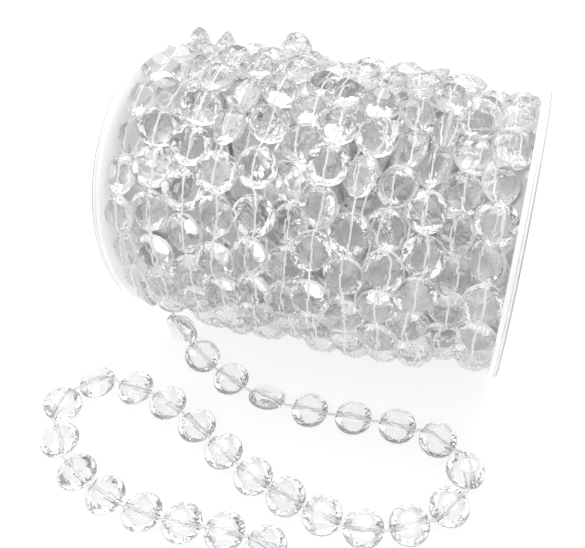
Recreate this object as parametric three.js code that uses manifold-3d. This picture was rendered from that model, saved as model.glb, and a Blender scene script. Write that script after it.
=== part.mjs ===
// A reel of clear faceted bead garland lying on its side, with a loose tail laid in two loops before it.
// Millimetres, +Z up. The reel's axis runs along X and the origin is on the floor under the reel's middle.
import * as THREE from 'three';
import { mergeVertices } from 'three/addons/utils/BufferGeometryUtils.js';
import Module from 'manifold-3d';

const wasm = await Module();
wasm.setup();

// Reel
const REEL_WIDTH = 106;
const FLANGE_RADIUS = 38.5;
const FLANGE_THICKNESS = 1.4;
const RIM_WIDTH = 2.2;
const RIM_THICKNESS = 2.2;
const RIM_EDGE = 0.3;
const FLANGE_SEGMENTS = 60;
const FOOT_FLAT_DEPTH = 0.15;
const AXIS_HEIGHT = FLANGE_RADIUS - FOOT_FLAT_DEPTH;
const GAP = 0.3;

// Bead: two eight-sided cones base to base, each cut flat at its table
const BEAD_RADIUS = 5.2;
const BEAD_THICKNESS = 6;
const TABLE_RADIUS = 2.1;
const GIRDLE_THICKNESS = 0.8;
const BEAD_SIDES = 8;
const BORE_RADIUS = 0.85;
const BORE_SIDES = 6;
const STRING_DIAMETER = 0.8;
const STRING_SIDES = 8;

// Winding: the radius over the outermost beads at each place along the reel
const WOUND_PROFILE = [
  { x: -51, radius: 38.4 },
  { x: -45, radius: 40.5 },
  { x: -35, radius: 41.5 },
  { x: -20, radius: 42.0 },
  { x: 5, radius: 42.0 },
  { x: 18, radius: 41.7 },
  { x: 28, radius: 40.8 },
  { x: 38, radius: 39.4 },
  { x: 46, radius: 38.0 },
  { x: 51, radius: 36.6 },
];
const BEADS_PER_TURN = 22;
const BEAD_STEP = 360 / BEADS_PER_TURN;
const DEEP_TURN = 2.2;
const SUNK_BEAD = 4.3;
const STRAND_GAP = 0.3;

// Rings on a turn, as distances along the reel from its string, and points on a ring for each bead, as
// distances along its string: together they mark out a bead's table, its crown and the dip to the next
const RING_OFFSETS = [-4.5, -2.1, 2.1, 4.5];
const BEAD_POINTS = [-5.6, -2.3, 2.3];

// Turns of the outer layer: where each crosses the front, the angle of one of its beads (90 is the top and
// 180 the front), how deep it lies, how far it drifts along the reel over the top, and under the front
const TURNS = [
  { x: -44.3, angle: 203, depth: 0, drift: -1, slip: -1 },
  { x: -35.6, angle: 166, depth: 0, drift: -3, slip: -2.4 },
  { x: -26.2, angle: 156, depth: 0, drift: -2, slip: 0 },
  { x: -18.2, angle: 163, depth: 0, drift: -2, slip: 0 },
  { x: -9.8, angle: 161, depth: 0, drift: 1, slip: 0 },
  { x: -1.8, angle: 147, depth: DEEP_TURN, drift: 2, slip: 0 },
  { x: 4.8, angle: 157, depth: 0, drift: 2, slip: 0 },
  { x: 13.2, angle: 158, depth: 0, drift: 1, slip: 0 },
  { x: 21.8, angle: 159, depth: 0, drift: 1, slip: 0 },
  { x: 29.8, angle: 164, depth: 0, drift: 1, slip: 0 },
  { x: 36.6, angle: 153, depth: DEEP_TURN, drift: 1, slip: 0 },
  { x: 44.6, angle: 167, depth: 0, drift: 0, slip: 0 },
];
const SLIP_RATE = 3;
const TAIL_TURN = 1;
const TAIL_LEFT_ANGLES = { from: 205, to: 240 };

// Beads that have worked loose and stand on edge on the far side of the top
const LOOSE_BEADS = [
  { x: -44.4, angle: 60, radius: 39.1, turn: 57 },
  { x: -36.0, angle: 60, radius: 38.8, turn: 40 },
  { x: -15.2, angle: 61, radius: 40.6, turn: 75 },
];

// Tail: each bead's place, its lean about the string, how far the string dips through it, and its height
// where it isn't on the floor. Lean and dip are degrees.
const TAIL = [
  { x: -37.4, y: -36.6, lean: -85, dip: 68, z: 14.3 },
  { x: -32.6, y: -37.9, lean: 6, dip: 25 },
  { x: -21.2, y: -42.9, lean: 0 },
  { x: -8.4, y: -46.3, lean: 26 },
  { x: 4.7, y: -46.7, lean: 0 },
  { x: 17.3, y: -45.9, lean: 4 },
  { x: 29.7, y: -45.1, lean: 0 },
  { x: 41.2, y: -46.2, lean: 0 },
  { x: 49.9, y: -53.0, lean: 8 },
  { x: 47.6, y: -63.6, lean: 0 },
  { x: 38.9, y: -70.7, lean: 0 },
  { x: 28.2, y: -74.6, lean: -8 },
  { x: 17.3, y: -74.1, lean: 0 },
  { x: 6.8, y: -72.1, lean: 5 },
  { x: -3.5, y: -69.2, lean: 0 },
  { x: -14.0, y: -64.7, lean: 0 },
  { x: -24.3, y: -59.6, lean: -5 },
  { x: -35.7, y: -55.1, lean: 0 },
  { x: -47.3, y: -53.1, lean: 6 },
  { x: -59.4, y: -54.3, lean: 0 },
  { x: -65.0, y: -63.6, lean: 20 },
  { x: -59.7, y: -73.6, lean: 0 },
  { x: -49.8, y: -80.6, lean: 0 },
  { x: -38.9, y: -84.2, lean: -4 },
  { x: -27.5, y: -85.6, lean: 0 },
  { x: -16.3, y: -85.4, lean: 0 },
  { x: -4.9, y: -84.5, lean: 5 },
  { x: 6.4, y: -85.0, lean: 0 },
  { x: 16.8, y: -90.2, lean: 0 },
];
const STRING_EXIT = { x: -38.1, y: -35.4, z: 22.1 };
const HOLE_REACH = 4.9;
const STRING_END = 7.2;
const STRING_DROP = 3.6;
const KNOT_RADIUS = 1.2;

const UP = new THREE.Vector3(0, 0, 1);
const ALONG_REEL = new THREE.Vector3(1, 0, 0);

const clearAcrylic = new THREE.MeshStandardMaterial({ color: 0xe6e9ea, roughness: 0.06, metalness: 0 });
const frostedPlastic = new THREE.MeshStandardMaterial({ color: 0xf2f2f0, roughness: 0.45, metalness: 0 });
const nylonString = new THREE.MeshStandardMaterial({ color: 0xf7f7f5, roughness: 0.35, metalness: 0 });

function solidOf(geometry) {
  const bare = geometry.clone();
  bare.deleteAttribute('normal');
  bare.deleteAttribute('uv');
  const merged = mergeVertices(bare, 1e-4);
  return new wasm.Manifold(new wasm.Mesh({
    numProp: 3,
    vertProperties: merged.attributes.position.array,
    triVerts: new Uint32Array(merged.index.array),
  }));
}

function geometryOf(solid) {
  const { vertProperties, triVerts } = solid.getMesh();
  const geometry = new THREE.BufferGeometry();
  geometry.setAttribute('position', new THREE.BufferAttribute(vertProperties, 3));
  geometry.setIndex(new THREE.BufferAttribute(triVerts, 1));
  geometry.computeVertexNormals();
  return geometry;
}

function named(name, geometry, material) {
  const mesh = new THREE.Mesh(geometry, material);
  mesh.name = name;
  return mesh;
}

// A block that holds all of the space over a height
function spaceOver(height) {
  const size = 400;
  return solidOf(new THREE.BoxGeometry(size, size, size).translate(0, 0, height + size / 2));
}

// A lathe shape whose axis lies along X
function turnedAlongX(profile, segments) {
  const points = profile.map(([radius, x]) => new THREE.Vector2(radius, x));
  return new THREE.LatheGeometry(points, segments).rotateZ(-Math.PI / 2);
}

function flange(name, side) {
  const outer = REEL_WIDTH / 2;
  const inner = outer - FLANGE_THICKNESS;
  const lip = outer - RIM_THICKNESS;
  const rim = FLANGE_RADIUS - RIM_WIDTH;
  const turned = turnedAlongX([
    [0, inner],
    [rim - RIM_EDGE, inner],
    [rim, lip],
    [FLANGE_RADIUS - RIM_EDGE, lip],
    [FLANGE_RADIUS, lip + RIM_EDGE],
    [FLANGE_RADIUS, outer - RIM_EDGE],
    [FLANGE_RADIUS - RIM_EDGE, outer],
    [0, outer],
  ], FLANGE_SEGMENTS);
  turned.rotateX(Math.PI / FLANGE_SEGMENTS);
  if (side < 0) turned.rotateZ(Math.PI);
  turned.translate(0, 0, AXIS_HEIGHT);
  return named(name, geometryOf(solidOf(turned).intersect(spaceOver(0))), frostedPlastic);
}

// A bead whose tables face along its own Y and whose string runs along its own Z
function beadGeometry() {
  const half = BEAD_THICKNESS / 2;
  const profile = [
    [0, -half],
    [TABLE_RADIUS, -half],
    [BEAD_RADIUS, -GIRDLE_THICKNESS / 2],
    [BEAD_RADIUS, GIRDLE_THICKNESS / 2],
    [TABLE_RADIUS, half],
    [0, half],
  ];
  const points = profile.map(([radius, y]) => new THREE.Vector2(radius, y));
  return new THREE.LatheGeometry(points, BEAD_SIDES, Math.PI / BEAD_SIDES);
}

function piercedBeadGeometry() {
  const bore = new THREE.CylinderGeometry(BORE_RADIUS, BORE_RADIUS, BEAD_RADIUS * 3, BORE_SIDES);
  bore.rotateX(Math.PI / 2);
  return geometryOf(solidOf(beadGeometry()).subtract(solidOf(bore)));
}

// The matrix that puts a bead at a place, its tables along one direction and its string along another
function beadFrame(place, tables, string) {
  const side = new THREE.Vector3().crossVectors(tables, string).normalize();
  const along = new THREE.Vector3().crossVectors(side, tables).normalize();
  return new THREE.Matrix4().makeBasis(side, tables.clone().normalize(), along).setPosition(place);
}

function woundRadius(x) {
  const next = WOUND_PROFILE.findIndex((row) => row.x > x);
  if (next < 0) return WOUND_PROFILE.at(-1).radius;
  if (next === 0) return WOUND_PROFILE[0].radius;
  const before = WOUND_PROFILE[next - 1];
  const after = WOUND_PROFILE[next];
  return before.radius + (after.radius - before.radius) * (x - before.x) / (after.x - before.x);
}

function outward(angle) {
  const turn = THREE.MathUtils.degToRad(angle);
  return new THREE.Vector3(0, Math.cos(turn), Math.sin(turn));
}

// Where a turn lies along the reel at an angle
function turnPlace(turn, angle) {
  const height = Math.sin(THREE.MathUtils.degToRad(angle));
  return turn.x + turn.drift * Math.max(0, height) + turn.slip * Math.min(1, SLIP_RATE * Math.max(0, -height));
}

// How far a bead's face stands over its middle, at a distance along the reel and along its string
function beadHeight(across, along) {
  const reach = Math.max(Math.abs(across), Math.abs(along), (Math.abs(across) + Math.abs(along)) / Math.SQRT2);
  const crown = BEAD_THICKNESS / 2 * (BEAD_RADIUS - reach) / (BEAD_RADIUS - TABLE_RADIUS);
  return Math.min(crown, BEAD_THICKNESS / 2);
}

// One ring of the winding: its points, in order of their angle
function ringPoints(turn, index, across) {
  const points = [];
  for (let bead = 0; bead < BEADS_PER_TURN; bead += 1) {
    const middle = (turn.angle + BEAD_STEP * bead) % 360;
    const left = index === TAIL_TURN && middle > TAIL_LEFT_ANGLES.from && middle < TAIL_LEFT_ANGLES.to;
    BEAD_POINTS.forEach((along) => {
      const string = woundRadius(turn.x) - BEAD_THICKNESS / 2 - turn.depth;
      const angle = middle + THREE.MathUtils.radToDeg(along / string);
      const height = left ? -SUNK_BEAD / 2 : Math.max(beadHeight(across, along), -SUNK_BEAD / 2);
      points.push({ angle: (angle + 360) % 360, x: turnPlace(turn, angle) + across, radius: string + height });
    });
  }
  return points.sort((a, b) => a.angle - b.angle);
}

// A plain ring, for the two ends
function endRing(x, radius) {
  const points = [];
  const count = BEADS_PER_TURN * BEAD_POINTS.length;
  for (let i = 0; i < count; i += 1) points.push({ angle: 360 * (i + 0.5) / count, x, radius });
  return points;
}

// Every ring from one end to the other. A turn that is close to the next has its rings drawn in.
function woundRings() {
  const end = REEL_WIDTH / 2 - FLANGE_THICKNESS - GAP;
  const rings = [endRing(-end, woundRadius(-end) - SUNK_BEAD)];
  TURNS.forEach((turn, index) => {
    const room = (next) => (next ? Math.abs(next.x - turn.x) / 2 - STRAND_GAP : Infinity);
    const before = room(TURNS[index - 1]);
    const after = room(TURNS[index + 1]);
    RING_OFFSETS.forEach((offset) => {
      const across = THREE.MathUtils.clamp(offset, -before, after);
      rings.push(ringPoints(turn, index, across));
    });
  });
  rings.push(endRing(end, woundRadius(end) - SUNK_BEAD));
  return rings;
}

// The winding's own form: rings of points joined by triangles. Its underside sags flat on the floor.
function woundForm() {
  const rings = woundRings();
  const count = rings[0].length;
  const positions = [];
  rings.forEach((ring) => ring.forEach(({ angle, x, radius }) => {
    const place = outward(angle).multiplyScalar(radius);
    positions.push(x, place.y, Math.max(0, place.z + AXIS_HEIGHT));
  }));
  const faces = [];
  for (let ring = 0; ring < rings.length - 1; ring += 1) {
    for (let i = 0; i < count; i += 1) {
      const a = ring * count + i;
      const b = ring * count + (i + 1) % count;
      faces.push(a, b, b + count, a, b + count, a + count);
    }
  }
  const firstMiddle = positions.length / 3;
  positions.push(rings[0][0].x, 0, AXIS_HEIGHT, rings.at(-1)[0].x, 0, AXIS_HEIGHT);
  const lastRing = (rings.length - 1) * count;
  for (let i = 0; i < count; i += 1) {
    const next = (i + 1) % count;
    faces.push(firstMiddle, next, i, firstMiddle + 1, lastRing + i, lastRing + next);
  }
  const geometry = new THREE.BufferGeometry();
  geometry.setAttribute('position', new THREE.Float32BufferAttribute(positions, 3));
  geometry.setIndex(faces);
  return geometry;
}

function looseBeads() {
  return LOOSE_BEADS.map(({ x, angle, radius, turn }) => {
    const string = outward(angle);
    const place = string.clone().multiplyScalar(radius).add(new THREE.Vector3(x, 0, AXIS_HEIGHT));
    const tables = ALONG_REEL.clone().applyAxisAngle(string, THREE.MathUtils.degToRad(turn));
    return beadFrame(place, tables, string);
  });
}

function woundGarland() {
  const bead = beadGeometry();
  const loose = looseBeads().map((frame) => solidOf(bead.clone().applyMatrix4(frame)));
  const whole = loose.reduce((sum, one) => sum.add(one), solidOf(woundForm()));
  return named('wound_garland', geometryOf(whole), clearAcrylic);
}

// The unit directions of a tail bead's string and tables, from its neighbours, its lean and its dip
function tailDirections(index) {
  const before = TAIL[Math.max(index - 1, 0)];
  const after = TAIL[Math.min(index + 1, TAIL.length - 1)];
  const { lean, dip = 0 } = TAIL[index];
  const level = new THREE.Vector3(after.x - before.x, after.y - before.y, 0).normalize();
  const side = new THREE.Vector3().crossVectors(UP, level);
  const string = level.applyAxisAngle(side, THREE.MathUtils.degToRad(dip));
  const tables = new THREE.Vector3().crossVectors(string, side);
  tables.applyAxisAngle(string, -THREE.MathUtils.degToRad(lean));
  return { string, tables };
}

// The height of a tail bead's middle when its lowest corner touches the floor
function restingHeight(index) {
  const { string, tables } = tailDirections(index);
  const bead = beadGeometry().applyMatrix4(beadFrame(new THREE.Vector3(), tables, string));
  bead.computeBoundingBox();
  return -bead.boundingBox.min.z;
}

function tailPlaces() {
  return TAIL.map(({ x, y, z }, index) => new THREE.Vector3(x, y, z ?? restingHeight(index)));
}

// The string's route: straight through each bead, bent in the gaps, ending flat on the floor at its knot
function stringRoute(places) {
  const route = [new THREE.Vector3(STRING_EXIT.x, STRING_EXIT.y, STRING_EXIT.z)];
  places.forEach((place, index) => {
    const { string } = tailDirections(index);
    route.push(place.clone().addScaledVector(string, -HOLE_REACH));
    route.push(place.clone().addScaledVector(string, HOLE_REACH));
  });
  const last = route.at(-1);
  const { string } = tailDirections(places.length - 1);
  const end = last.clone().addScaledVector(string.setZ(0).normalize(), STRING_END);
  const middle = last.clone().lerp(end, STRING_DROP / STRING_END).setZ(KNOT_RADIUS + 0.4);
  end.z = KNOT_RADIUS;
  route.push(middle, end);
  return route;
}

// A curve that passes each point of a route in equal steps
class RouteCurve extends THREE.Curve {
  constructor(points) {
    super();
    this.points = points;
  }

  getPoint(t, target = new THREE.Vector3()) {
    const place = t * (this.points.length - 1);
    const index = Math.min(Math.floor(place), this.points.length - 2);
    return target.lerpVectors(this.points[index], this.points[index + 1], place - index);
  }

  getPointAt(t, target) {
    return this.getPoint(t, target);
  }

  getTangentAt(t, target = new THREE.Vector3()) {
    const step = 0.5 / (this.points.length - 1);
    const before = this.getPoint(Math.max(t - step, 0));
    const after = this.getPoint(Math.min(t + step, 1));
    return target.subVectors(after, before).normalize();
  }
}

function stringSection() {
  const corners = [];
  for (let i = 0; i < STRING_SIDES; i += 1) {
    const turn = 2 * Math.PI * i / STRING_SIDES;
    corners.push(new THREE.Vector2(Math.cos(turn), Math.sin(turn)).multiplyScalar(STRING_DIAMETER / 2));
  }
  return new THREE.Shape(corners);
}

function tailString(places) {
  const route = stringRoute(places);
  const options = { steps: route.length - 1, extrudePath: new RouteCurve(route), bevelEnabled: false };
  return named('tail_string', new THREE.ExtrudeGeometry(stringSection(), options), nylonString);
}

function tailBeads(places) {
  const geometry = piercedBeadGeometry();
  return places.map((place, index) => {
    const bead = named(`tail_bead_${String(index + 1).padStart(2, '0')}`, geometry, clearAcrylic);
    const { string, tables } = tailDirections(index);
    bead.applyMatrix4(beadFrame(place, tables, string));
    return bead;
  });
}

function endKnot(places) {
  const route = stringRoute(places);
  const end = route.at(-1);
  const heading = new THREE.Vector3().subVectors(end, route.at(-2)).setZ(0).normalize();
  const geometry = new THREE.IcosahedronGeometry(KNOT_RADIUS, 1);
  const knot = named('end_knot', geometryOf(solidOf(geometry)), nylonString);
  knot.position.copy(end).addScaledVector(heading, KNOT_RADIUS + GAP);
  knot.position.z = KNOT_RADIUS;
  return knot;
}

const places = tailPlaces();
const reel = new THREE.Group();
reel.add(flange('flange_left', -1), flange('flange_right', 1), woundGarland());
const tail = new THREE.Group();
tail.add(tailString(places), ...tailBeads(places), endKnot(places));
const garlandReel = new THREE.Group();
garlandReel.add(reel, tail);

export default garlandReel;
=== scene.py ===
"""A reel of clear faceted bead garland lying on its side, with a loose tail laid before it.

Laid out as an add-on and run as a script. Everything is in metres in the frame's own place.
"""

import math

import bmesh
import bpy
import numpy as np
from mathutils import Matrix, Vector


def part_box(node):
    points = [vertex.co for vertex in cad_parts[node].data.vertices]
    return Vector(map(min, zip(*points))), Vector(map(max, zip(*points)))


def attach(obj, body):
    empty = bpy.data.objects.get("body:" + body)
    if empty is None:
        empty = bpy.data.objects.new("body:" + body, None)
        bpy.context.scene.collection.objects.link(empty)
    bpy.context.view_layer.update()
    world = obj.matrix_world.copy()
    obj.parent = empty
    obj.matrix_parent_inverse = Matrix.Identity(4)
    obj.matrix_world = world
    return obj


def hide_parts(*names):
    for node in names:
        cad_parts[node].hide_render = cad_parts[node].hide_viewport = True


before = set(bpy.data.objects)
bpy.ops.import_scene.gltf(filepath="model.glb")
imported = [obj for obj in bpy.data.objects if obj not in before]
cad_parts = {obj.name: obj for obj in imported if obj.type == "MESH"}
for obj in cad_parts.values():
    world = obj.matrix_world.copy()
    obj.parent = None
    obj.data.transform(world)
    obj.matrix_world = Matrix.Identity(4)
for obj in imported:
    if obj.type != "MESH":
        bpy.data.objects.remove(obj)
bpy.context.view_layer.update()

bl_info = {
    "name": "Bead Garland Reel",
    "version": (1, 0, 0),
    "blender": (4, 5, 0),
    "location": "View3D > Sidebar > Garland",
    "description": "Builds a reel of faceted bead garland with its loose tail",
    "category": "Add Mesh",
}

MM = 0.001
WHITE = (1.0, 1.0, 1.0)
BODY = "root"
X, Z = Vector((1, 0, 0)), Vector((0, 0, 1))

FLANGE_LOW, FLANGE_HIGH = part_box("flange_right")
FLANGE_RADIUS = (FLANGE_HIGH.y - FLANGE_LOW.y) / 2
FLANGE_HALF = (FLANGE_HIGH.x - FLANGE_LOW.x) / 2
FLANGE_MIDDLE = (FLANGE_HIGH.x + FLANGE_LOW.x) / 2
AXIS_HEIGHT = FLANGE_HIGH.z - FLANGE_RADIUS
WOUND_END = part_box("wound_garland")[1].x
TAIL_NODES = sorted(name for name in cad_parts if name.startswith("tail_bead_"))

# The flange: its wall, the ring that stands up at its rim, and the groove round the rim's edge, whose place
# is a share of the edge's width
WALL_THICKNESS = 1.4 * MM
RING_WIDTH = 2.2 * MM
RING_SLOPE = 0.3 * MM
EDGE_ROUNDING = 0.3 * MM
GROOVE_PLACE = 0.6
GROOVE_WIDTH = 0.5 * MM
GROOVE_DEPTH = 0.5 * MM
DISC_STEPS = 144

# The radius over the outermost beads at each place along the reel, in millimetres
WOUND_PROFILE = [
    {"x": -51, "radius": 38.4},
    {"x": -45, "radius": 40.5},
    {"x": -35, "radius": 41.5},
    {"x": -20, "radius": 42.0},
    {"x": 5, "radius": 42.0},
    {"x": 18, "radius": 41.7},
    {"x": 28, "radius": 40.8},
    {"x": 38, "radius": 39.4},
    {"x": 46, "radius": 38.0},
    {"x": 51, "radius": 36.6},
]

# Turns of the outer layer: where each crosses the front, the angle of one of its beads (90 is the top and
# 180 the front), how deep it lies, how far it drifts over the top, and slips under the front, and in the
# outermost the lean of its beads
TURNS = [
    {"x": -44.3, "angle": 203, "depth": 0, "drift": -1, "slip": -1, "lean": 52},
    {"x": -35.6, "angle": 166, "depth": 0, "drift": -3, "slip": -2.4},
    {"x": -26.2, "angle": 156, "depth": 0, "drift": -2, "slip": 0},
    {"x": -18.2, "angle": 163, "depth": 0, "drift": -2, "slip": 0},
    {"x": -9.8, "angle": 161, "depth": 0, "drift": 1, "slip": 0},
    {"x": -1.8, "angle": 147, "depth": 2.2, "drift": 2, "slip": 0},
    {"x": 4.8, "angle": 157, "depth": 0, "drift": 2, "slip": 0},
    {"x": 13.2, "angle": 158, "depth": 0, "drift": 1, "slip": 0},
    {"x": 21.8, "angle": 159, "depth": 0, "drift": 1, "slip": 0},
    {"x": 29.8, "angle": 164, "depth": 0, "drift": 1, "slip": 0},
    {"x": 36.6, "angle": 153, "depth": 2.2, "drift": 1, "slip": 0},
    {"x": 44.6, "angle": 167, "depth": 0, "drift": 0, "slip": 0},
]
BEADS_PER_TURN = 22

# How soon below the front a turn slips, and the turn and the angles that the tail has left empty
SLIP_RATE = 3
TAIL_TURN = 1
TAIL_LEFT = (205, 240)

# The second layer: each turn lies between two of the outer ones, or the last one and the end given here, and
# starts some degrees after its neighbour
UNDER_BEADS_PER_TURN = 19
UNDER_START = 7
UNDER_END = 48

# How far beads stray from their turn and sink into it, in millimetres
STRAY = 0.35
SINK = 0.3

# How beads settle: the rounds, the share of its way that each bead moves back and is pushed in a round, and
# the room kept over the floor
SETTLE_ROUNDS = 60
SETTLE_BACK = 0.06
SETTLE_PUSH = 0.25
FLOOR_ROOM = 0.35 * MM

# The beads deep inside: how many in a turn, the degrees from one turn to the next, their lean in radians,
# and the barrel under them
HEART_BEADS_PER_TURN = 16
HEART_TWIST = 11
HEART_LEAN = 0.35
BARREL_RADIUS = 27.5 * MM

# Beads that have worked loose and stand on edge on the far side of the top
LOOSE_BEADS = [
    {"x": -44.4, "angle": 60, "radius": 39.1, "turn": 57},
    {"x": -36.0, "angle": 60, "radius": 38.8, "turn": 40},
    {"x": -15.2, "angle": 61, "radius": 40.6, "turn": 75},
]

# The tail: each bead's place, its lean about the string, how far the string dips through it, and its height
# where it isn't on the floor
TAIL = [
    {"x": -37.4, "y": -36.6, "lean": -85, "dip": 68, "z": 14.3},
    {"x": -32.6, "y": -37.9, "lean": 6, "dip": 25},
    {"x": -21.2, "y": -42.9, "lean": 0},
    {"x": -8.4, "y": -46.3, "lean": 26},
    {"x": 4.7, "y": -46.7, "lean": 0},
    {"x": 17.3, "y": -45.9, "lean": 4},
    {"x": 29.7, "y": -45.1, "lean": 0},
    {"x": 41.2, "y": -46.2, "lean": 0},
    {"x": 49.9, "y": -53.0, "lean": 8},
    {"x": 47.6, "y": -63.6, "lean": 0},
    {"x": 38.9, "y": -70.7, "lean": 0},
    {"x": 28.2, "y": -74.6, "lean": -8},
    {"x": 17.3, "y": -74.1, "lean": 0},
    {"x": 6.8, "y": -72.1, "lean": 5},
    {"x": -3.5, "y": -69.2, "lean": 0},
    {"x": -14.0, "y": -64.7, "lean": 0},
    {"x": -24.3, "y": -59.6, "lean": -5},
    {"x": -35.7, "y": -55.1, "lean": 0},
    {"x": -47.3, "y": -53.1, "lean": 6},
    {"x": -59.4, "y": -54.3, "lean": 0},
    {"x": -65.0, "y": -63.6, "lean": 20},
    {"x": -59.7, "y": -73.6, "lean": 0},
    {"x": -49.8, "y": -80.6, "lean": 0},
    {"x": -38.9, "y": -84.2, "lean": -4},
    {"x": -27.5, "y": -85.6, "lean": 0},
    {"x": -16.3, "y": -85.4, "lean": 0},
    {"x": -4.9, "y": -84.5, "lean": 5},
    {"x": 6.4, "y": -85.0, "lean": 0},
    {"x": 16.8, "y": -90.2, "lean": 0},
]
STRING_EXIT = Vector((-38.1, -35.4, 22.1)) * MM
HOLE_REACH = 4.9 * MM
TAIL_SEED = 5

# The string past the last bead, and the knot: its size, and the turns and points of its loop
STRING_END = 7.2 * MM
STRING_DROP = 3.6 * MM
STRING_SAG = 0.4 * MM
KNOT_RADIUS = 1.2 * MM
KNOT_TURNS = 2
KNOT_POINTS = 24
KNOT_WAVE = 1.5
KNOT_SWAY = 0.5 * MM

# The lights: a wide one over the far side, whose light comes back through the beads, a wide one over the
# near side, which lights the floor, and a narrow one aside
SOFTBOXES = [
    {"name": "far", "place": (-0.05, 0.3, 0.55), "size": (0.6, 0.4), "energy": 3.0},
    {"name": "near", "place": (0.15, -0.4, 0.6), "size": (0.8, 0.6), "energy": 0.9},
    {"name": "side", "place": (-0.6, -0.1, 0.3), "size": (0.12, 0.4), "energy": 0.5},
]

# The direction of the sky's lightest part, high over the far side, and the floor's reach in metres
SKY_MIDDLE = (0, 0.5, 0.87)
FLOOR_SIZE = 3
FLOOR_PLACE = -0.02 * MM
CLIP_START = 10 * MM
LIGHT_BOUNCES = 12


class BeadSettings(bpy.types.PropertyGroup):
    """Sizes of one bead and its string."""

    radius: bpy.props.FloatProperty(
        name="Radius", description="Half of a bead's width", default=5.2 * MM, unit="LENGTH"
    )
    thickness: bpy.props.FloatProperty(
        name="Thickness", description="From table to table", default=6 * MM, unit="LENGTH"
    )
    table: bpy.props.FloatProperty(
        name="Table", description="Radius of the flat table", default=2.1 * MM, unit="LENGTH"
    )
    star: bpy.props.FloatProperty(
        name="Star", description="Radius to the star facets' points", default=3.6 * MM, unit="LENGTH"
    )
    girdle: bpy.props.FloatProperty(
        name="Girdle", description="Thickness of the edge", default=0.8 * MM, unit="LENGTH"
    )
    bore: bpy.props.FloatProperty(
        name="Bore", description="Radius of the hole for the string", default=0.85 * MM, unit="LENGTH"
    )
    string: bpy.props.FloatProperty(
        name="String", description="Diameter of the string", default=0.8 * MM, unit="LENGTH"
    )
    taut_string: bpy.props.FloatProperty(
        name="Taut string",
        description="Diameter of the string where it is wound tight",
        default=0.5 * MM,
        unit="LENGTH",
    )


class WindingSettings(bpy.types.PropertyGroup):
    """How the garland lies on the reel."""

    front_lean: bpy.props.FloatProperty(
        name="Lean in front",
        description="How far beads lean at the front",
        default=math.radians(9),
        unit="ROTATION",
    )
    top_lean: bpy.props.FloatProperty(
        name="Lean on top",
        description="How far beads lean over the top",
        default=math.radians(36),
        unit="ROTATION",
    )
    layer_depth: bpy.props.FloatProperty(
        name="Layer depth", description="From one layer to the next", default=4.5 * MM, unit="LENGTH"
    )
    seed: bpy.props.IntProperty(
        name="Seed", description="Chooses the beads' small turns", default=11, min=0
    )


class ColourSettings(bpy.types.PropertyGroup):
    """Colours of the finishes."""

    acrylic: bpy.props.FloatVectorProperty(
        name="Acrylic", description="Clear beads", default=(0.915, 0.92, 0.92), subtype="COLOR", size=3
    )
    # Painted shade: the beads deep in the winding are a darker grey than the clear acrylic
    depths: bpy.props.FloatVectorProperty(
        name="Depths",
        description="Beads deep in the winding",
        default=(0.74, 0.75, 0.75),
        subtype="COLOR",
        size=3,
    )
    frosted: bpy.props.FloatVectorProperty(
        name="Frosted", description="Milky plastic", default=(0.93, 0.93, 0.925), subtype="COLOR", size=3
    )
    string: bpy.props.FloatVectorProperty(
        name="String", description="Pale string", default=(0.98, 0.98, 0.975), subtype="COLOR", size=3
    )


class StageSettings(bpy.types.PropertyGroup):
    """Camera, floor and light."""

    camera: bpy.props.FloatVectorProperty(
        name="Camera",
        description="The camera's place",
        default=(0.0475, -0.1296, 0.1634),
        subtype="XYZ",
        unit="LENGTH",
    )
    pitch: bpy.props.FloatProperty(
        name="Pitch", description="How far it looks down", default=math.radians(48.32), unit="ROTATION"
    )
    yaw: bpy.props.FloatProperty(
        name="Yaw", description="How far it looks aside", default=math.radians(-18.84), unit="ROTATION"
    )
    roll: bpy.props.FloatProperty(
        name="Roll", description="How far it is rolled", default=math.radians(-3.39), unit="ROTATION"
    )
    lens: bpy.props.FloatProperty(
        name="Lens", description="Focal length in millimetres", default=39.42
    )
    shift: bpy.props.FloatProperty(
        name="Shift", description="Sideways shift, as a share of the view's width", default=-58 / 585
    )
    floor_glow: bpy.props.FloatProperty(
        name="Floor glow", description="Strength of the floor's own light", default=0.8
    )
    sky: bpy.props.FloatProperty(
        name="Sky", description="Strength of the soft light overhead", default=0.95
    )
    dusk: bpy.props.FloatProperty(
        name="Dusk", description="Strength of the light low in front", default=0.27
    )


class Value:
    """A shader socket that arithmetic can work on. Each expression adds its Math nodes."""

    def __init__(self, shader, socket):
        self.shader = shader
        self.socket = socket

    def math(self, operation, first, second):
        return self.shader.node("ShaderNodeMath", {"operation": operation}, {0: first, 1: second})

    def __add__(self, other):
        return self.math("ADD", self, other)

    __radd__ = __add__

    def __sub__(self, other):
        return self.math("SUBTRACT", self, other)

    def __rsub__(self, other):
        return self.math("SUBTRACT", other, self)

    def __mul__(self, other):
        return self.math("MULTIPLY", self, other)

    __rmul__ = __mul__

    def __abs__(self):
        return self.math("ABSOLUTE", self, 0)

    def at_least(self, other):
        return self.math("MAXIMUM", self, other)


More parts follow.
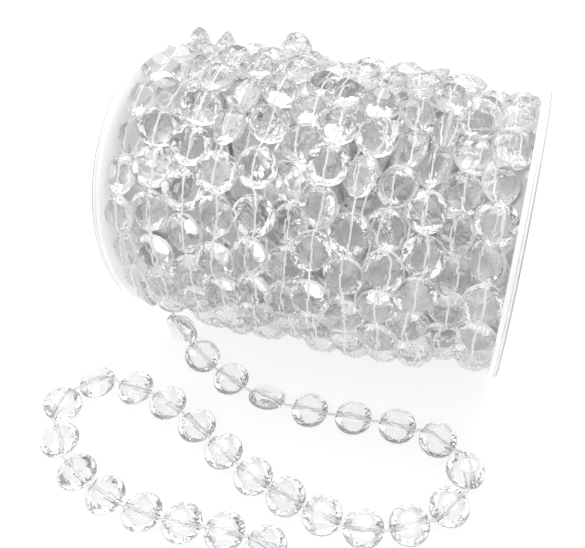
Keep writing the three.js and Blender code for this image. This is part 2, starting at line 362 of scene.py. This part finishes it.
class Shader:
    """The nodes of one material, or of the world."""

    def __init__(self, owner):
        owner.use_nodes = True
        self.owner = owner
        self.tree = owner.node_tree
        self.tree.nodes.clear()

    def node(self, kind, settings=None, sockets=None, output=0):
        """Adds a node: its settings first, then the values or links of its sockets."""
        made = self.tree.nodes.new(kind)
        for name, value in (settings or {}).items():
            if name == "stops":
                for stop, (place, shade) in zip(made.color_ramp.elements, value):
                    stop.position, stop.color = place, (shade, shade, shade, 1)
            else:
                setattr(made, name, value)
        for name, value in (sockets or {}).items():
            if isinstance(value, Value):
                self.tree.links.new(value.socket, made.inputs[name])
            else:
                made.inputs[name].default_value = value
        return Value(self, made.outputs[output] if made.outputs else None)

    def place(self):
        return self.node("ShaderNodeTexCoord", output="Object")

    def noise(self, scale, detail=2.0, roughness=0.5):
        sockets = {"Vector": self.place(), "Scale": scale, "Detail": detail, "Roughness": roughness}
        return self.node("ShaderNodeTexNoise", {}, sockets)

    def cells(self, scale):
        sockets = {"Vector": self.place(), "Scale": scale}
        return self.node("ShaderNodeTexVoronoi", {"feature": "F1"}, sockets)

    def vector(self, operation, first, second, output=0):
        sockets = {0: first, 1: second}
        return self.node("ShaderNodeVectorMath", {"operation": operation}, sockets, output)

    def attribute(self, name):
        return self.node("ShaderNodeAttribute", {"attribute_name": name}, output="Fac")

    def ramp(self, value, stops):
        return self.node("ShaderNodeValToRGB", {"stops": stops}, {"Fac": value})

    def mix(self, mask, first, second):
        """A colour between two colours."""
        settings = {"data_type": "RGBA"}
        sockets = {"Factor": mask, 6: first, 7: second}
        return self.node("ShaderNodeMix", settings, sockets, output=2)

    def bump(self, height, strength, distance):
        sockets = {"Height": height, "Strength": strength, "Distance": distance}
        return self.node("ShaderNodeBump", {}, sockets)

    def finish(self, sockets, links):
        """The surface itself: constant values on its sockets, and what changes over it as links."""
        surface = self.node("ShaderNodeBsdfPrincipled", {}, {**sockets, **links})
        self.node("ShaderNodeOutputMaterial", {}, {"Surface": surface})
        return self.owner


def opaque(colour, share=1.0):
    return (colour[0] * share, colour[1] * share, colour[2] * share, 1.0)


def clear_acrylic(name, colour, painted_outline_share, painted_edge_glow):
    """Clear moulded acrylic: each bead a little different, with faint flow marks, fine handling scratches
    and a matt moulded edge. The edge's colour is darkened by a given share into a painted dark outline, and
    the whole surface has a faint painted glow, with a strength of its own at the edge."""
    shader = Shader(bpy.data.materials.new(name))
    own = shader.attribute("cast")
    flow = shader.noise(240, 2, 0.55)
    fine = shader.noise(1100, 1, 0.5)
    scratches = shader.noise(1900, 3, 0.7)
    edge = shader.ramp(shader.attribute("edge"), [(0.88, 0), (0.94, 1)])
    cast = shader.mix(own * 0.4 + flow * 0.2, opaque(colour), opaque(colour, 0.93))
    # Painted shade: the edge's colour is darkened by the given share into a dark outline
    shade = shader.mix(edge, cast, opaque(colour, painted_outline_share))
    rough = scratches * 0.012 + own * 0.006 + edge * 0.45
    ripple = shader.bump(flow + fine * 0.25, 0.08, 0.3 * MM)
    # Painted glow: a faint glow over the whole bead, with its own strength at the edge
    glow = shader.mix(edge, opaque(WHITE, 0.03), opaque(WHITE, painted_edge_glow))
    links = {"Base Color": shade, "Roughness": rough, "Normal": ripple, "Emission Color": glow}
    return shader.finish({"IOR": 1.49, "Transmission Weight": 1.0, "Emission Strength": 1.0}, links)


def deep_beads(colour):
    """Beads far down in the winding, where light has been scattered many times: painted a darker grey for
    the shade in the depths, with blotches of painted shadow mixed with each bead's own random tone, and a
    faint painted glow for the scattered light.
    """
    shader = Shader(bpy.data.materials.new("beads_in_depth"))
    glints = shader.cells(310)
    shadow = shader.noise(70, 3, 0.6)
    own = shader.attribute("cast")
    # Painted shade: blotches of shadow mixed with each bead's own random tone, lighter and darker about the
    # grey
    mask = shader.ramp(shadow * 0.6 + own * 0.4, [(0.3, 0), (0.7, 1)])
    shade = shader.mix(mask, opaque(colour, 0.9), opaque(colour, 1.1))
    rough = glints * 0.3 + 0.22
    # A faint painted glow stands for the light scattered in the depths
    sockets = {"IOR": 1.49, "Metallic": 1.0, "Emission Color": opaque(WHITE), "Emission Strength": 0.04}
    return shader.finish(sockets, {"Base Color": shade, "Roughness": rough})


def frosted_plastic(colour):
    """Milky moulded plastic with a fine satin grain. It has a faint painted glow that grows towards the rim,
    and a narrow painted dark outline along its outer edge and painted shade in its groove, where the glow is
    weaker."""
    shader = Shader(bpy.data.materials.new("milky_satin"))
    grain = shader.noise(2600, 2, 0.5)
    cloud = shader.noise(45, 3, 0.5)
    flat = shader.vector("MULTIPLY", shader.place(), (0, 1, 1))
    reach = shader.vector("DISTANCE", flat, (0, 0, AXIS_HEIGHT), output="Value") * (1 / FLANGE_RADIUS)
    along = shader.node("ShaderNodeSeparateXYZ", {}, {"Vector": shader.place()}, output="X")
    across = (abs(along) - FLANGE_MIDDLE) * (1 / FLANGE_HALF)
    # Painted shade: a narrow dark outline along the outer edge's face and in the groove
    at_face = shader.ramp(across, [(0.58, 0), (0.72, 1)])
    in_groove = shader.ramp(abs(across - (2 * GROOVE_PLACE - 1)), [(0.1, 0.45), (0.24, 0)])
    line = shader.ramp(reach, [(0.98, 0), (0.988, 1)]) * (at_face + in_groove)
    # Painted light: the glow grows towards the rim, away from the shade of the beads
    painted_rim_light = shader.ramp(reach, [(0.8, 0), (0.97, 1)])
    lit = shader.mix(painted_rim_light, opaque(WHITE, 0.1), opaque(WHITE, 0.24))
    # The painted outline takes away most of the painted glow, and darkens the colour below
    glow = shader.mix(line, lit, opaque(WHITE, 0.03))
    milk = shader.mix(cloud, opaque(colour), opaque(colour, 0.96))
    shade = shader.mix(line, milk, opaque(colour, 0.6))
    rough = grain * 0.12 + 0.36
    surface = shader.bump(grain, 0.15, 0.05 * MM)
    sockets = {"IOR": 1.49, "Transmission Weight": 0.35, "Emission Strength": 1.0}
    sockets |= {"Subsurface Weight": 0.35, "Subsurface Scale": 2 * MM, "Subsurface Radius": WHITE}
    links = {"Base Color": shade, "Roughness": rough, "Normal": surface, "Emission Color": glow}
    return shader.finish(sockets, links)


def nylon_string(name, colour, clearness, glow):
    """Pale line with a slight cloudiness along it, and a painted glow of the given strength."""
    shader = Shader(bpy.data.materials.new(name))
    cloud = shader.noise(700, 2, 0.5)
    shade = shader.mix(cloud, opaque(colour), opaque(colour, 0.9))
    rough = cloud * 0.1 + 0.08
    sockets = {"IOR": 1.53, "Transmission Weight": clearness}
    # Painted glow: the string's own light, though it is no lamp
    sockets |= {"Emission Color": opaque(WHITE), "Emission Strength": glow}
    return shader.finish(sockets, {"Base Color": shade, "Roughness": rough})


def clear_line(colours):
    """The clear finish of the loose string and its knot, made the first time it is asked for. Its colour is
    darkened, a painted shade that makes it show grey against the pale floor, and it has a faint painted
    glow.
    """
    name = "clear_line"
    made = bpy.data.materials.get(name)
    return made or nylon_string(name, opaque(colours.string, 0.88), 0.55, 0.1)


def dressed(piece, finish, slot, *nodes):
    """Gives a piece its finish, its body and the nodes that it stands for."""
    piece.data.materials.append(finish)
    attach(piece, BODY)
    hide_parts(*nodes)


def new_piece(name, form):
    """An object from a bmesh, which is freed."""
    mesh = bpy.data.meshes.new(name)
    form.to_mesh(mesh)
    form.free()
    piece = bpy.data.objects.new(name, mesh)
    bpy.context.scene.collection.objects.link(piece)
    return piece


def ring_of_corners(form, count, radius, height, turned):
    """Corners of a flat ring about Z."""
    for corner in range(count):
        turn = 2 * math.pi * (corner + turned) / count
        bmesh.ops.create_vert(form, co=(radius * math.cos(turn), radius * math.sin(turn), height))


def bead_form(bead, sides=8):
    """One bead as the hull of its rings of corners. Its tables face along Z and its string along Y."""
    half, edge = bead.thickness / 2, bead.girdle / 2
    slope = (half - edge) / (bead.radius - bead.table)
    star = half - slope * (bead.star * math.cos(math.pi / sides) - bead.table)
    form = bmesh.new()
    for side in (1, -1):
        ring_of_corners(form, sides, bead.table, side * half, 0)
        ring_of_corners(form, sides, bead.star, side * star, 0.5)
        ring_of_corners(form, 2 * sides, bead.radius, side * edge, 0)
    bmesh.ops.convex_hull(form, input=form.verts)
    flat = math.radians(1)
    bmesh.ops.dissolve_limit(form, angle_limit=flat, verts=form.verts, edges=form.edges)
    return form


def pierced(form, bead):
    """The same bead with the hole for its string cut through along Y."""
    body = new_piece("blank", form)
    tool = bmesh.new()
    bmesh.ops.create_cone(
        tool, cap_ends=True, segments=16, radius1=bead.bore, radius2=bead.bore, depth=4 * bead.radius
    )
    bmesh.ops.rotate(tool, verts=tool.verts, cent=(0, 0, 0), matrix=Matrix.Rotation(math.pi / 2, 3, "X"))
    drill = new_piece("drill", tool)
    cut = body.modifiers.new("bore", "BOOLEAN")
    cut.object, cut.operation, cut.solver = drill, "DIFFERENCE", "EXACT"
    made = bmesh.new()
    made.from_object(body, bpy.context.evaluated_depsgraph_get())
    for piece in (body, drill):
        mesh = piece.data
        bpy.data.objects.remove(piece)
        bpy.data.meshes.remove(mesh)
    return made


def bead_matrix(place, tables, string):
    side = string.cross(tables).normalized()
    string = tables.cross(side).normalized()
    axes = Matrix((side, string, tables.normalized())).transposed()
    return Matrix.Translation(place) @ axes.to_4x4()


def many_beads(name, bead, matrices, dice, bored=False):
    """Beads as a single mesh, each with a cast of its own, and its edge marked for the finish."""
    form = pierced(bead_form(bead), bead) if bored else bead_form(bead)
    one = bpy.data.meshes.new(name + "_one")
    form.to_mesh(one)
    form.free()
    corners = [corner.co for corner in one.vertices]
    at_edge = [float(abs(co.z) < bead.girdle and (abs(co.x) > bead.bore or not bored)) for co in corners]
    whole = bmesh.new()
    cast, edge = (whole.verts.layers.float.new(layer) for layer in ("cast", "edge"))
    for matrix in matrices:
        count = len(whole.verts)
        whole.from_mesh(one)
        whole.verts.ensure_lookup_table()
        added = whole.verts[count:]
        bmesh.ops.transform(whole, matrix=matrix, verts=added)
        own = float(dice.uniform(0, 1))
        for corner, mark in zip(added, at_edge):
            corner[cast], corner[edge] = own, mark
    bpy.data.meshes.remove(one)
    return new_piece(name, whole)


def strand(name, lines, diameter, roundness=2):
    """A round string along one or more lines of points."""
    curve = bpy.data.curves.new(name, "CURVE")
    curve.dimensions = "3D"
    curve.bevel_depth = diameter / 2
    curve.bevel_resolution = roundness
    curve.use_fill_caps = True
    for points in lines:
        spline = curve.splines.new("BEZIER")
        spline.bezier_points.add(len(points) - 1)
        spline.resolution_u = 3
        for knot, point in zip(spline.bezier_points, points):
            knot.co = point
            knot.handle_left_type = knot.handle_right_type = "AUTO"
    piece = bpy.data.objects.new(name, curve)
    bpy.context.scene.collection.objects.link(piece)
    return piece


def wound_radius(x):
    """The radius over the outermost beads, in millimetres."""
    places = [row["x"] for row in WOUND_PROFILE]
    radii = [row["radius"] for row in WOUND_PROFILE]
    return float(np.interp(x, places, radii))


def outward(angle):
    turn = math.radians(angle)
    return Vector((0, math.cos(turn), math.sin(turn)))


def turn_place(turn, angle):
    """Where a turn lies along the reel at an angle, in millimetres."""
    height = math.sin(math.radians(angle))
    over, under = max(0, height), min(1, SLIP_RATE * max(0, -height))
    return turn["x"] + turn["drift"] * over + turn["slip"] * under


class Winding:
    """The wound beads, layer by layer, settled against each other, the flanges and the floor."""

    def __init__(self, bead, winding):
        self.bead = bead
        self.dice = np.random.default_rng(winding.seed)
        self.winding = winding
        self.places, self.tables, self.strands, self.room = [], [], [], []
        self.add_layer(TURNS, BEADS_PER_TURN, 0)
        self.outer = len(self.places)
        self.add_layer(self.under_turns(), UNDER_BEADS_PER_TURN, 1)
        self.second = len(self.places)
        self.settle()

    def under_turns(self):
        """The turns of the layer underneath, each between two of the outer layer."""
        after = [turn["x"] for turn in TURNS[1:]] + [UNDER_END]
        return [
            {**turn, "x": (turn["x"] + x) / 2, "angle": turn["angle"] + UNDER_START, "depth": 0, "lean": 0}
            for turn, x in zip(TURNS, after)
        ]

    def add_layer(self, turns, count, layer):
        for index, turn in enumerate(turns):
            members = []
            for step in range(count):
                angle = (turn["angle"] + 360 * step / count) % 360
                if layer == 0 and index == TAIL_TURN and TAIL_LEFT[0] < angle < TAIL_LEFT[1]:
                    continue
                members.append((angle, self.add_bead(turn, angle, layer)))
            members.sort(key=lambda member: (member[0] + 90) % 360)
            self.strands.append([bead for _, bead in members])

    def add_bead(self, turn, angle, layer):
        over = max(0.0, math.sin(math.radians(angle)))
        loose = self.winding.front_lean + (self.winding.top_lean - self.winding.front_lean) * over**2
        x = turn_place(turn, angle) + self.dice.normal(0, STRAY)
        tilt = self.dice.normal(math.radians(turn.get("lean", 0)), loose)
        reach = math.hypot(self.bead.thickness / 2 * math.cos(tilt), self.bead.radius * math.sin(tilt))
        radius = wound_radius(turn["x"]) - turn["depth"] - reach / MM
        radius -= layer * self.winding.layer_depth / MM + abs(self.dice.normal(0, SINK))
        out = outward(angle)
        string = X.cross(out)
        lean = Matrix.Rotation(tilt, 3, string)
        self.places.append(list((out * radius + X * x) * MM + Z * AXIS_HEIGHT))
        self.tables.append(list(lean @ out))
        self.room.append(radius * MM)
        return len(self.places) - 1

    def settle(self):
        """Pushes beads apart where they meet while each is drawn back to its own place."""
        places, tables = np.array(self.places), np.array(self.tables)
        home = places.copy()
        most = np.array(self.room)
        half, radius = self.bead.thickness / 2, self.bead.radius
        down = np.sqrt(radius**2 * (1 - tables[:, 2] ** 2) + half**2 * tables[:, 2] ** 2)
        aside = np.sqrt(radius**2 * (1 - tables[:, 0] ** 2) + half**2 * tables[:, 0] ** 2)
        for _ in range(SETTLE_ROUNDS):
            places += (home - places) * SETTLE_BACK
            gap = places[None] - places[:, None]
            length = np.linalg.norm(gap, axis=2) + 1e-9
            way = gap / length[..., None]
            near = length < 2 * radius
            np.fill_diagonal(near, False)
            first, second = np.nonzero(near)
            ways = way[first, second]
            reach = self.reach(ways, tables[first]) + self.reach(ways, tables[second])
            over = np.maximum(0, reach - length[first, second])
            push = ways * (over * SETTLE_PUSH)[:, None]
            np.add.at(places, first, -push)
            np.add.at(places, second, push)
            self.hold(places, most, down, aside)
        self.places = places

    def reach(self, ways, tables):
        """How far a bead reaches from its middle in a direction, taken as a flattened ball."""
        across = np.sum(ways * tables, axis=1) ** 2
        return 1 / np.sqrt(across / (self.bead.thickness / 2) ** 2 + (1 - across) / self.bead.radius**2)

    def hold(self, places, most, down, aside):
        """Keeps beads inside the wound form, between the flanges and over the floor."""
        places[:, 0] = np.clip(places[:, 0], -WOUND_END + aside, WOUND_END - aside)
        from_axis = places[:, 1:] - (0, AXIS_HEIGHT)
        distance = np.linalg.norm(from_axis, axis=1)
        from_axis *= (np.minimum(distance, most) / distance)[:, None]
        places[:, 1:] = from_axis + (0, AXIS_HEIGHT)
        places[:, 2] = np.maximum(places[:, 2], down + FLOOR_ROOM)

    def matrices(self, first, last):
        """Each bead's matrix, its string in line with its neighbours on the strand."""
        made = {}
        for members in self.strands:
            for index, bead in enumerate(members):
                if first <= bead < last:
                    made[bead] = self.matrix(members, index)
        return [made[bead] for bead in sorted(made)]

    def matrix(self, members, index):
        bead = members[index]
        before = Vector(self.places[members[index - 1]])
        after = Vector(self.places[members[(index + 1) % len(members)]])
        string = (after - before).normalized()
        tables = Vector(self.tables[bead])
        tables = (tables - string * tables.dot(string)).normalized()
        return bead_matrix(Vector(self.places[bead]), tables, string)

    def lines(self, first, last, reach):
        """The strings' points: in at one side of each bead and out at the other."""
        lines = []
        for members in self.strands:
            if not first <= members[0] < last:
                continue
            points = []
            for index in range(len(members)):
                matrix = self.matrix(members, index)
                points += [matrix @ Vector((0, -reach, 0)), matrix @ Vector((0, reach, 0))]
            lines.append(points)
        return lines


def tail_directions(index):
    """The unit directions of a tail bead's string and tables."""
    before, after = TAIL[max(index - 1, 0)], TAIL[min(index + 1, len(TAIL) - 1)]
    level = Vector((after["x"] - before["x"], after["y"] - before["y"], 0)).normalized()
    side = Z.cross(level)
    string = Matrix.Rotation(math.radians(TAIL[index].get("dip", 0)), 3, side) @ level
    tables = Matrix.Rotation(-math.radians(TAIL[index]["lean"]), 3, string) @ string.cross(side)
    return string, tables


def tail_places():
    """Each tail bead's middle. The frame's own bead says how high it rests."""
    places = []
    for row, node in zip(TAIL, TAIL_NODES):
        low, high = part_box(node)
        height = row["z"] * MM if "z" in row else (low.z + high.z) / 2
        places.append(Vector((row["x"] * MM, row["y"] * MM, height)))
    return places


def string_route():
    """The string's points: straight through each bead, bent in the gaps, then down to its knot."""
    route = [STRING_EXIT.copy()]
    for index, place in enumerate(tail_places()):
        string, _ = tail_directions(index)
        route += [place - string * HOLE_REACH, place + string * HOLE_REACH]
    string, _ = tail_directions(len(TAIL) - 1)
    ahead = Vector((string.x, string.y, 0)).normalized()
    end = route[-1] + ahead * STRING_END
    middle = route[-1].lerp(end, STRING_DROP / STRING_END)
    middle.z = KNOT_RADIUS + STRING_SAG
    end.z = KNOT_RADIUS
    return route + [middle, end]


def route_length(route):
    return sum((after - before).length for before, after in zip(route, route[1:]))


class GARLAND_OT_stage(bpy.types.Operator):
    """Adds the camera, the pale floor and the soft light"""

    bl_idname = "garland.stage"
    bl_label = "Stage"

    def execute(self, context):
        stage = context.scene.garland_stage
        self.camera(context.scene, stage)
        self.floor(stage)
        self.light(context.scene, stage)
        return {"FINISHED"}

    def camera(self, scene, stage):
        ahead = Vector((
            math.sin(stage.yaw) * math.cos(stage.pitch),
            math.cos(stage.yaw) * math.cos(stage.pitch),
            -math.sin(stage.pitch),
        ))
        right = Vector((math.cos(stage.yaw), -math.sin(stage.yaw), 0))
        up = right.cross(ahead)
        rolled_right = right * math.cos(stage.roll) + up * math.sin(stage.roll)
        rolled_up = up * math.cos(stage.roll) - right * math.sin(stage.roll)
        data = bpy.data.cameras.new("camera")
        data.lens, data.shift_x = stage.lens, stage.shift
        data.clip_start = CLIP_START
        camera = bpy.data.objects.new("camera", data)
        axes = Matrix((rolled_right, rolled_up, -ahead)).transposed()
        camera.matrix_world = Matrix.Translation(Vector(stage.camera)) @ axes.to_4x4()
        scene.collection.objects.link(camera)
        scene.camera = camera

    def floor(self, stage):
        form = bmesh.new()
        bmesh.ops.create_grid(form, x_segments=1, y_segments=1, size=FLOOR_SIZE)
        bmesh.ops.translate(form, verts=form.verts, vec=(0, 0, FLOOR_PLACE))
        floor = new_piece("floor", form)
        shader = Shader(bpy.data.materials.new("pale_floor"))
        shade = shader.mix(shader.noise(3), opaque(WHITE, 0.29), opaque(WHITE, 0.31))
        sockets = {"Roughness": 0.9, "Specular IOR Level": 0.0}
        sockets |= {"Emission Color": opaque(WHITE), "Emission Strength": stage.floor_glow}
        floor.data.materials.append(shader.finish(sockets, {"Base Color": shade}))

    def light(self, scene, stage):
        scene.view_settings.view_transform = "Standard"
        scene.cycles.max_bounces = scene.cycles.transmission_bounces = LIGHT_BOUNCES
        scene.world = bpy.data.worlds.new("soft_sky")
        shader = Shader(scene.world)
        way = shader.node("ShaderNodeTexCoord", output="Generated")
        nearness = shader.vector("DOT_PRODUCT", way, SKY_MIDDLE, output="Value")
        strength = (nearness * (stage.sky - stage.dusk) + stage.dusk).at_least(stage.dusk)
        sky = shader.node("ShaderNodeBackground", {}, {"Strength": strength})
        shader.node("ShaderNodeOutputWorld", {}, {"Surface": sky})
        for row in SOFTBOXES:
            data = bpy.data.lights.new(row["name"], "AREA")
            data.shape, data.energy = "RECTANGLE", row["energy"]
            data.size, data.size_y = row["size"]
            box = bpy.data.objects.new(row["name"], data)
            box.location = row["place"]
            box.rotation_euler = (-box.location).to_track_quat("-Z", "Y").to_euler()
            scene.collection.objects.link(box)


class GARLAND_OT_tail_string(bpy.types.Operator):
    """Lays the tail's string from the roll to its knot"""

    bl_idname = "garland.tail_string"
    bl_label = "Tail string"

    def execute(self, context):
        bead, colours = context.scene.garland_bead, context.scene.garland_colours
        route = string_route()
        piece = strand("tail_line", [route], bead.string, 3)
        dressed(piece, clear_line(colours), "nylon_string", "tail_string")
        return {"FINISHED"}


class GARLAND_OT_tail_beads(bpy.types.Operator):
    """Threads the tail's pierced beads on its string"""

    bl_idname = "garland.tail_beads"
    bl_label = "Tail beads"

    def execute(self, context):
        bead, colours = context.scene.garland_bead, context.scene.garland_colours
        matrices = []
        for index, place in enumerate(tail_places()):
            string, tables = tail_directions(index)
            matrices.append(bead_matrix(place, tables, string))
        dice = np.random.default_rng(TAIL_SEED)
        piece = many_beads("tail_beads", bead, matrices, dice, bored=True)
        # The tail beads get a painted dark outline at their edges, and no painted glow there
        finish = clear_acrylic("moulded_acrylic", colours.acrylic, 0.7, 0.0)
        dressed(piece, finish, "clear_acrylic", *TAIL_NODES)
        return {"FINISHED"}


class GARLAND_OT_knot(bpy.types.Operator):
    """Ties the string's end"""

    bl_idname = "garland.knot"
    bl_label = "End knot"

    def execute(self, context):
        bead, colours = context.scene.garland_bead, context.scene.garland_colours
        route = string_route()
        piece = strand("end_loop", [self.loop(route, bead)], bead.string)
        dressed(piece, clear_line(colours), "nylon_string", "end_knot")
        route_length(route)
        return {"FINISHED"}

    def loop(self, route, bead):
        """The points of the string's loop round its own end, which sways a little along the string."""
        low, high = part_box("end_knot")
        middle = (low + high) / 2
        ahead = route[-1] - route[-2]
        ahead.z = 0
        ahead.normalize()
        side = Z.cross(ahead)
        radius = KNOT_RADIUS - bead.string / 2
        points = []
        for step in range(KNOT_POINTS + 1):
            turn = 2 * math.pi * KNOT_TURNS * step / KNOT_POINTS
            wave = math.cos(KNOT_WAVE * turn)
            swell = radius * (0.9 + 0.1 * wave)
            arm = side * (swell * math.sin(turn)) + Z * (swell * math.cos(turn) * 0.9)
            points.append(middle + arm + ahead * (KNOT_SWAY * wave))
        return points


class GARLAND_OT_flanges(bpy.types.Operator):
    """Moulds the reel's two flanges"""

    bl_idname = "garland.flanges"
    bl_label = "Flanges"

    def execute(self, context):
        finish = frosted_plastic(context.scene.garland_colours.frosted)
        for name in ("flange_left", "flange_right"):
            self.flange(name, finish)
        return {"FINISHED"}

    def flange(self, name, finish):
        low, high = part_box(name)
        side = 1 if high.x > 0 else -1
        outer = max(abs(low.x), abs(high.x))
        lip = min(abs(low.x), abs(high.x))
        wall = outer - WALL_THICKNESS
        ring = FLANGE_RADIUS - RING_WIDTH
        groove = lip + (outer - lip) * GROOVE_PLACE
        profile = [
            (wall, 0),
            (wall, ring - RING_SLOPE),
            (lip, ring),
            (lip, FLANGE_RADIUS),
            (groove - GROOVE_WIDTH / 2, FLANGE_RADIUS),
            (groove, FLANGE_RADIUS - GROOVE_DEPTH),
            (groove + GROOVE_WIDTH / 2, FLANGE_RADIUS),
            (outer, FLANGE_RADIUS),
            (outer, 0),
        ]
        form = bmesh.new()
        corners = []
        for x, radius in profile:
            corner = bmesh.ops.create_vert(form, co=(side * x, 0, AXIS_HEIGHT + radius))
            corners += corner["vert"]
        edges = [form.edges.new(pair) for pair in zip(corners, corners[1:])]
        bmesh.ops.spin(
            form,
            geom=corners + edges,
            cent=(0, 0, AXIS_HEIGHT),
            axis=(1, 0, 0),
            angle=2 * math.pi,
            steps=DISC_STEPS,
            use_merge=True,
        )
        bmesh.ops.remove_doubles(form, verts=form.verts, dist=1e-6)
        cut = bmesh.ops.bisect_plane(
            form,
            geom=form.verts[:] + form.edges[:] + form.faces[:],
            plane_co=(0, 0, 0),
            plane_no=(0, 0, -1),
            clear_outer=True,
        )
        rims = [part for part in cut["geom_cut"] if isinstance(part, bmesh.types.BMEdge)]
        bmesh.ops.edgeloop_fill(form, edges=rims)
        bmesh.ops.recalc_face_normals(form, faces=form.faces)
        piece = new_piece(name + "_disc", form)
        for face in piece.data.polygons:
            face.use_smooth = True
        bevel = piece.modifiers.new("soft_edges", "BEVEL")
        bevel.width, bevel.segments = EDGE_ROUNDING, 3
        bevel.limit_method, bevel.angle_limit = "ANGLE", math.radians(35)
        bevel.harden_normals = True
        dressed(piece, finish, "frosted_plastic", name)


class GARLAND_OT_winding(bpy.types.Operator):
    """Winds the garland on the reel: two clear layers of beads, their strings and the beads deep inside"""

    bl_idname = "garland.winding"
    bl_label = "Winding"

    def execute(self, context):
        bead, colours = context.scene.garland_bead, context.scene.garland_colours
        settings = context.scene.garland_winding
        winding = Winding(bead, settings)
        # The wound beads get no painted outline, and a painted highlight glow along their edges
        acrylic = clear_acrylic("wound_acrylic", colours.acrylic, 1.0, 0.1)
        # The wound strings get a stronger painted glow, which lightens them where the beads shade them
        pale = nylon_string("pale_line", colours.string, 0.35, 0.22)
        self.layer("wound_", winding, (0, winding.outer), acrylic, pale)
        self.layer("wound_under_", winding, (winding.outer, winding.second), acrylic, pale)
        self.loose(bead, acrylic, winding.dice)
        # The beads deep inside and the barrel under them share a finish painted darker grey for the shade in
        # the depths, with a faint painted glow
        depths = deep_beads(colours.depths)
        self.heart(settings, bead, depths)
        self.barrel(depths)
        return {"FINISHED"}

    def layer(self, name, winding, span, acrylic, pale):
        """One layer's beads and strings."""
        bead = winding.bead
        beads = many_beads(name + "beads", bead, winding.matrices(*span), winding.dice)
        dressed(beads, acrylic, "clear_acrylic", "wound_garland")
        strings = strand(name + "strings", winding.lines(*span, bead.radius), bead.taut_string, 1)
        for spline in strings.data.splines:
            spline.use_cyclic_u = True
        dressed(strings, pale, "nylon_string", "wound_garland")

    def loose(self, bead, acrylic, dice):
        """The beads that have worked loose."""
        matrices = []
        for row in LOOSE_BEADS:
            string = outward(row["angle"])
            place = (string * row["radius"] + X * row["x"]) * MM + Z * AXIS_HEIGHT
            tables = Matrix.Rotation(math.radians(row["turn"]), 3, string) @ X
            matrices.append(bead_matrix(place, tables, string))
        piece = many_beads("loose_beads", bead, matrices, dice)
        dressed(piece, acrylic, "clear_acrylic", "wound_garland")

    def heart(self, settings, bead, depths):
        """The beads deep inside."""
        dice = np.random.default_rng(settings.seed + 1)
        matrices = []
        depth = 2 * settings.layer_depth / MM + bead.thickness / 2 / MM
        for index, turn in enumerate(TURNS):
            radius = wound_radius(turn["x"]) - depth
            for step in range(HEART_BEADS_PER_TURN):
                angle = turn["angle"] + 360 * step / HEART_BEADS_PER_TURN + HEART_TWIST * index
                out = outward(angle)
                place = (out * radius + X * turn["x"]) * MM + Z * AXIS_HEIGHT
                lean = Matrix.Rotation(dice.normal(0, HEART_LEAN), 3, X.cross(out))
                matrices.append(bead_matrix(place, lean @ out, X.cross(out)))
        piece = many_beads("wound_heart", bead, matrices, dice)
        dressed(piece, depths, "clear_acrylic", "wound_garland")

    def barrel(self, depths):
        """The barrel under the deepest beads, which closes the view."""
        form = bmesh.new()
        bmesh.ops.create_cone(
            form,
            cap_ends=True,
            segments=64,
            radius1=BARREL_RADIUS,
            radius2=BARREL_RADIUS,
            depth=2 * WOUND_END,
        )
        lying = Matrix.Rotation(math.pi / 2, 3, "Y")
        bmesh.ops.rotate(form, verts=form.verts, cent=(0, 0, 0), matrix=lying)
        bmesh.ops.translate(form, verts=form.verts, vec=(0, 0, AXIS_HEIGHT))
        dressed(new_piece("wound_depths", form), depths, "clear_acrylic", "wound_garland")


class GARLAND_PT_panel(bpy.types.Panel):
    """Lists the steps that build the reel"""

    bl_idname = "GARLAND_PT_panel"
    bl_label = "Bead garland reel"
    bl_space_type = "VIEW_3D"
    bl_region_type = "UI"
    bl_category = "Garland"

    def draw(self, context):
        for operator in OPERATORS:
            self.layout.operator(operator.bl_idname)
        for name in SETTINGS:
            group = getattr(context.scene, name)
            box = self.layout.box()
            for value in group.__annotations__:
                box.prop(group, value)


SETTINGS = {
    "garland_bead": BeadSettings,
    "garland_winding": WindingSettings,
    "garland_colours": ColourSettings,
    "garland_stage": StageSettings,
}
OPERATORS = [
    GARLAND_OT_stage,
    GARLAND_OT_tail_string,
    GARLAND_OT_tail_beads,
    GARLAND_OT_knot,
    GARLAND_OT_flanges,
    GARLAND_OT_winding,
]


def register():
    for part in (*SETTINGS.values(), *OPERATORS, GARLAND_PT_panel):
        bpy.utils.register_class(part)
    for name, group in SETTINGS.items():
        setattr(bpy.types.Scene, name, bpy.props.PointerProperty(type=group))


def unregister():
    for name in SETTINGS:
        delattr(bpy.types.Scene, name)
    for part in (GARLAND_PT_panel, *reversed(OPERATORS), *reversed(SETTINGS.values())):
        bpy.utils.unregister_class(part)


def main():
    register()
    bpy.ops.garland.stage()
    bpy.ops.garland.tail_string()
    bpy.ops.garland.tail_beads()
    bpy.ops.garland.knot()
    bpy.ops.garland.flanges()
    bpy.ops.garland.winding()


if __name__ == "__main__":
    main()
